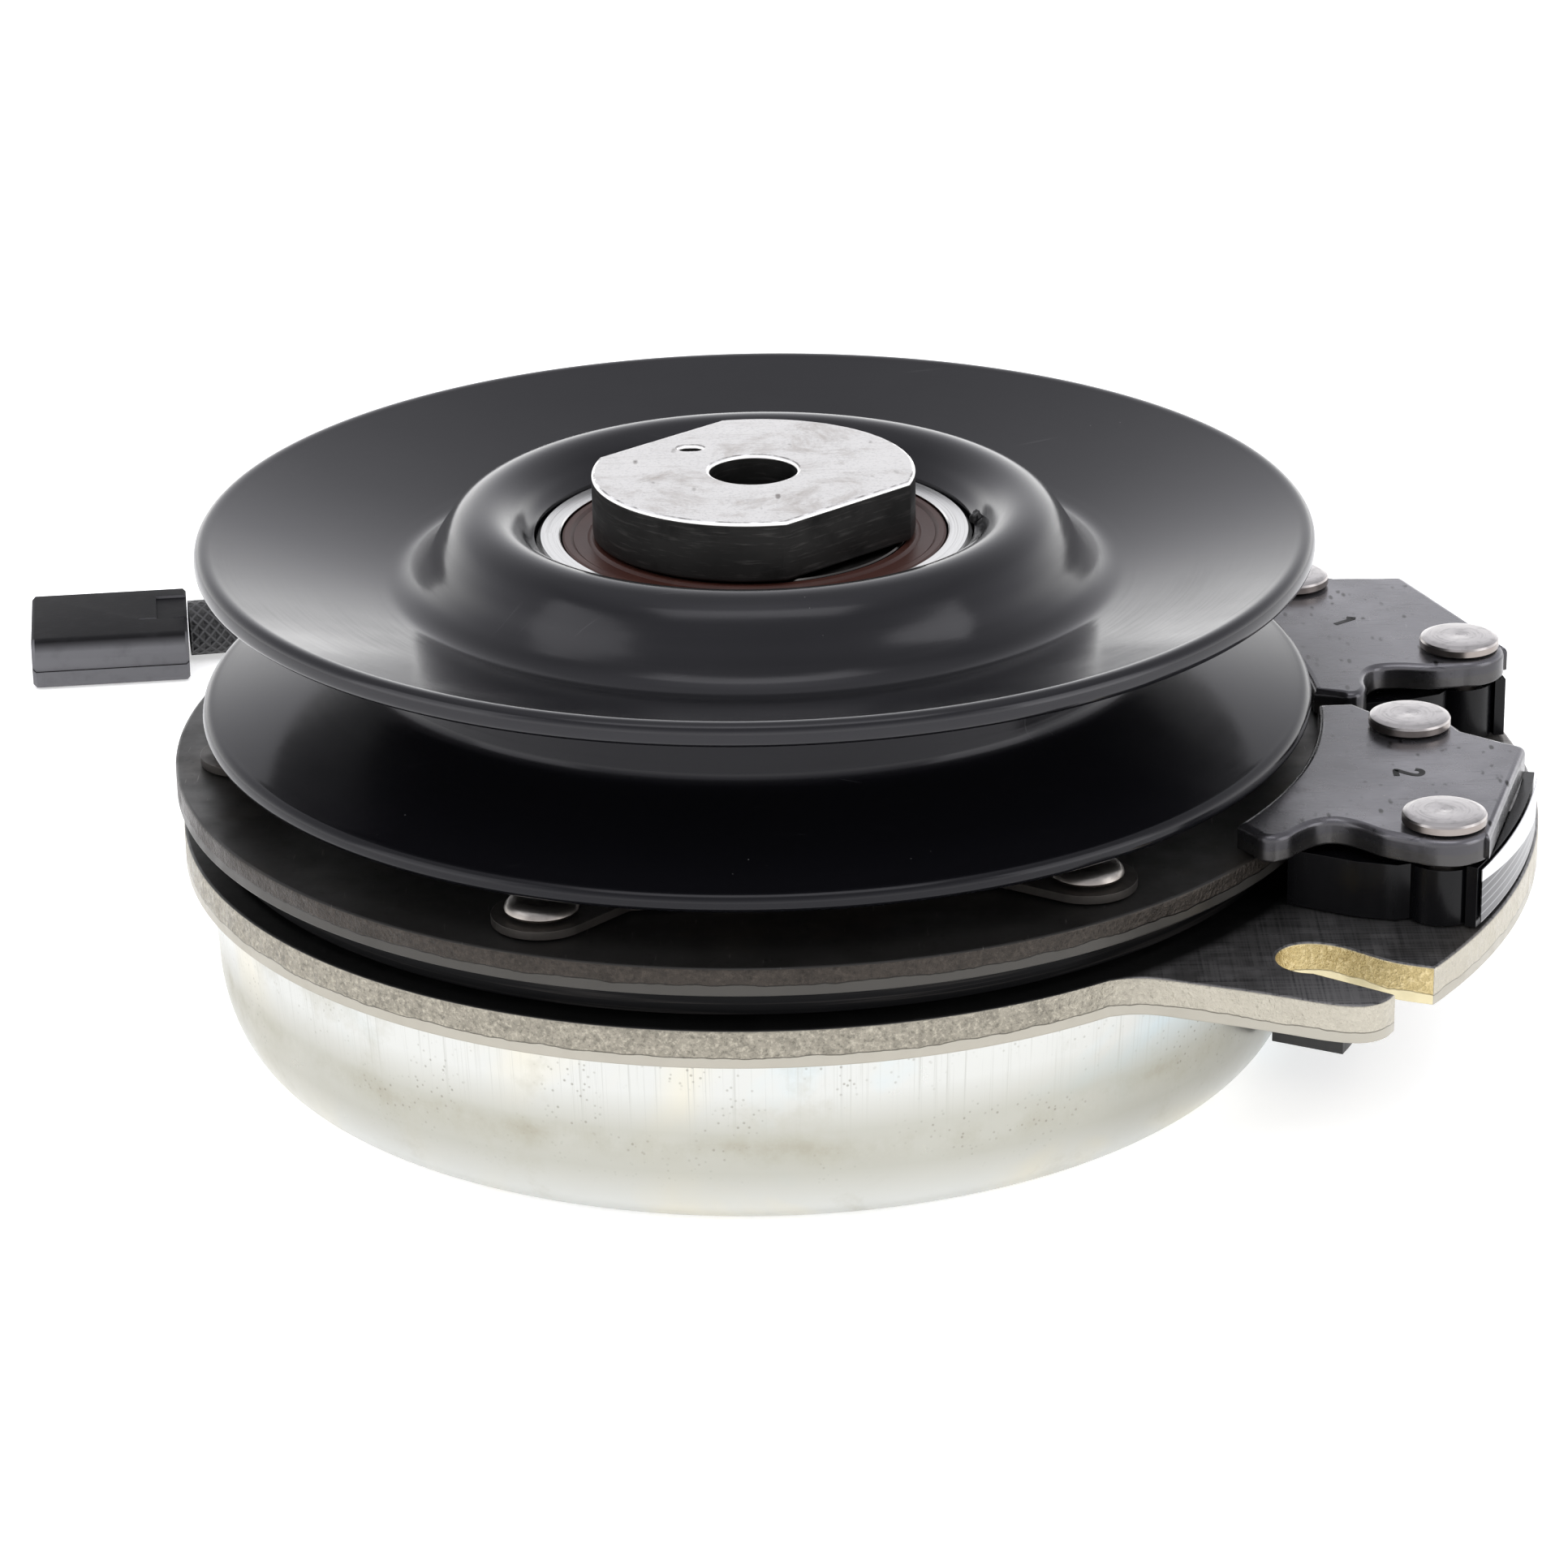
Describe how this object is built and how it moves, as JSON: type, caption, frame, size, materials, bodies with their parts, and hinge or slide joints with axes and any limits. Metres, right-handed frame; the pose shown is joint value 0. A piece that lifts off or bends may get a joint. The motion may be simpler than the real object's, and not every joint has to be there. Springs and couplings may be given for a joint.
{
  "type": "electromagnetic clutch",
  "caption": "Electromagnetic power take-off clutch with a V-belt pulley, keyed hub collar, zinc field shell, slotted tail plate, magnet brake modules and a plugged lead.",
  "frame": {"origin": "on the shaft axis, in the plane of the field shell's flat foot, which is the face the part stands on", "axes": "+Z along the shaft axis from the shell's foot to the collar that takes the crankshaft bolt; +X towards the tail plate that carries the brake; -Y is the front, the side with the tail plate's slot"},
  "size_m": [0.2383, 0.2398, 0.081],
  "materials": {
    "zinc_steel": "bright zinc plate",
    "pulley_black": "satin black dip coat",
    "oiled_steel": "dark oiled steel",
    "pole_steel": "blackened pressed steel",
    "rivet_steel": "turned bright steel",
    "hub_steel": "machined, grey stained",
    "race_steel": "ground bearing steel",
    "seal_rubber": "reddish brown nitrile",
    "housing_plastic": "glossy black",
    "magnet": "sintered ferrite",
    "foil": "plain silver foil",
    "bobbin_plastic": "black nylon",
    "copper": "enamelled copper",
    "cable_black": "braided black sleeve",
    "connector_plastic": "dark grey nylon",
    "terminal": "tinned brass"
  },
  "bodies": {
    "field": {"field_shell": "zinc_steel", "field_plate": "zinc_steel", "coil_bobbin": "bobbin_plastic", "coil_winding": "copper", "field_inner_pole": "oiled_steel", "field_bearing_outer_race": "race_steel", "field_bearing_seal": "seal_rubber", "magnet_housing_1": "housing_plastic", "magnet_housing_2": "housing_plastic", "brake_magnet_1": "magnet", "brake_magnet_2": "magnet", "brake_magnet_3": "magnet", "brake_magnet_4": "magnet", "brake_plate_1": "pole_steel", "brake_plate_2": "pole_steel", "brake_shim_1": "pole_steel", "brake_shim_2": "pole_steel", "brake_pin_1": "rivet_steel", "brake_pin_2": "rivet_steel", "brake_pin_3": "rivet_steel", "brake_pin_4": "rivet_steel", "label_foil": "foil", "lead_grommet": "cable_black", "lead_sleeve": "cable_black", "connector_body": "connector_plastic", "connector_terminal_1": "terminal", "connector_terminal_2": "terminal"},
    "rotor": {"rotor_disc": "oiled_steel", "rotor_hub": "hub_steel", "hub_collar": "hub_steel", "field_bearing_inner_race": "race_steel", "pulley_bearing_inner_race": "race_steel"},
    "pulley": {"pulley_upper_flange": "pulley_black", "pulley_lower_flange": "pulley_black", "pulley_bearing_outer_race": "race_steel", "pulley_bearing_seal_upper": "seal_rubber", "pulley_bearing_seal_lower": "seal_rubber", "spring_post_1": "pulley_black", "spring_post_2": "pulley_black", "spring_post_3": "pulley_black", "leaf_spring_1": "oiled_steel", "leaf_spring_2": "oiled_steel", "leaf_spring_3": "oiled_steel"},
    "armature": {"armature_disc": "oiled_steel", "armature_rivet_1": "rivet_steel", "armature_rivet_2": "rivet_steel", "armature_rivet_3": "rivet_steel", "armature_rivet_4": "rivet_steel", "armature_rivet_5": "rivet_steel", "armature_rivet_6": "rivet_steel"},
    "field_cage": {"field_bearing_cage": "race_steel"},
    "pulley_cage": {"pulley_bearing_cage": "race_steel"}
  },
  "joints": [
    {"name": "rotor_spin", "type": "hinge", "parent": "field", "child": "rotor", "pos_m": [0, 0, 0], "axis": [0, 0, 1], "continuous": true},
    {"name": "pulley_spin", "type": "hinge", "parent": "rotor", "child": "pulley", "pos_m": [0, 0, 0.065], "axis": [0, 0, 1], "continuous": true},
    {"name": "armature_slide", "type": "slide", "parent": "pulley", "child": "armature", "axis": [0, 0, -1], "range_m": [0, 0.0004], "stiffness_N_per_m": 15000, "springref_m": -0.001, "deforming": ["leaf_spring_1", "leaf_spring_2", "leaf_spring_3"]},
    {"name": "field_cage_spin", "type": "hinge", "parent": "field", "child": "field_cage", "pos_m": [0, 0, 0.0106], "axis": [0, 0, 1], "continuous": true},
    {"name": "pulley_cage_spin", "type": "hinge", "parent": "rotor", "child": "pulley_cage", "pos_m": [0, 0, 0.065], "axis": [0, 0, 1], "continuous": true}
  ],
  "couplings": [
    {"joint": "field_cage_spin", "follows": "rotor_spin", "ratio": 0.4},
    {"joint": "pulley_cage_spin", "follows": "pulley_spin", "ratio": 0.6}
  ]
}
